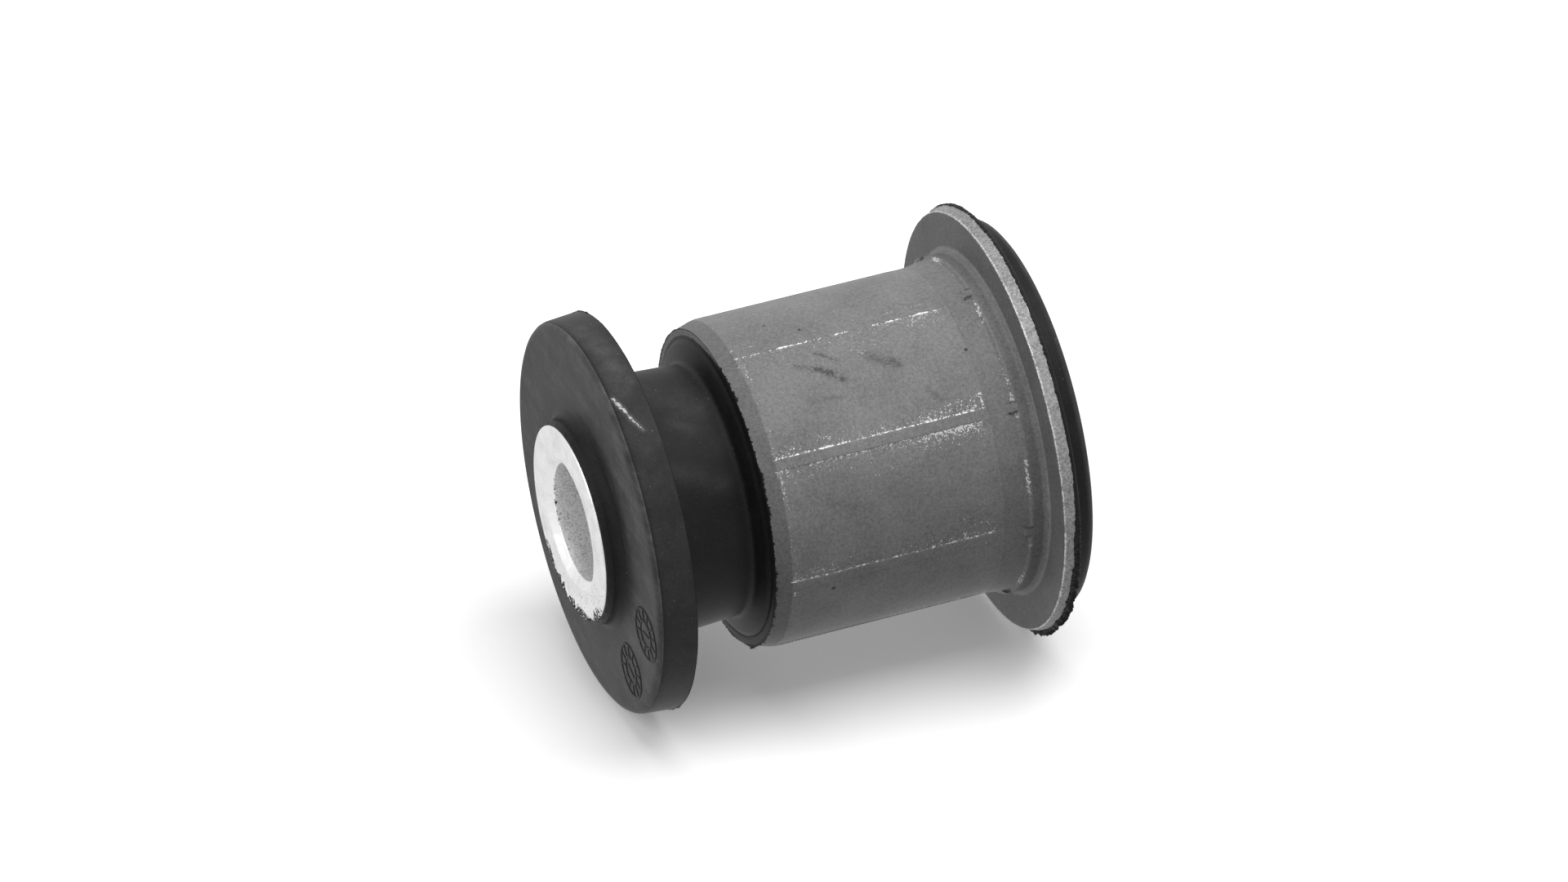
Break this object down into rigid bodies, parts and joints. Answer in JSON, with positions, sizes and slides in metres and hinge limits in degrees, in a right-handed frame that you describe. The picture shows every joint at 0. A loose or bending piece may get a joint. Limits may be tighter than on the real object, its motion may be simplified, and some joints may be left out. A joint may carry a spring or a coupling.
{
  "type": "rubber metal bush",
  "caption": "Suspension bush: a flanged steel sleeve bonded by one rubber moulding to a bored inner sleeve, with a rubber buffer disc at one end.",
  "frame": {"origin": "centre of the inner sleeve's lower end face, on which the bush stands", "axes": "+Z along the bush's axis, from the flanged end towards the buffer disc; X and Y across it"},
  "size_m": [0.0526, 0.0526, 0.06],
  "materials": {
    "machined_steel": "freshly turned, bright",
    "coated_steel": "matt grey phosphate with burnished edges",
    "moulded_rubber": "satin moulded rubber"
  },
  "bodies": {
    "root": {"inner_sleeve": "machined_steel", "outer_sleeve": "coated_steel", "rubber_body": "moulded_rubber"}
  },
  "joints": []
}
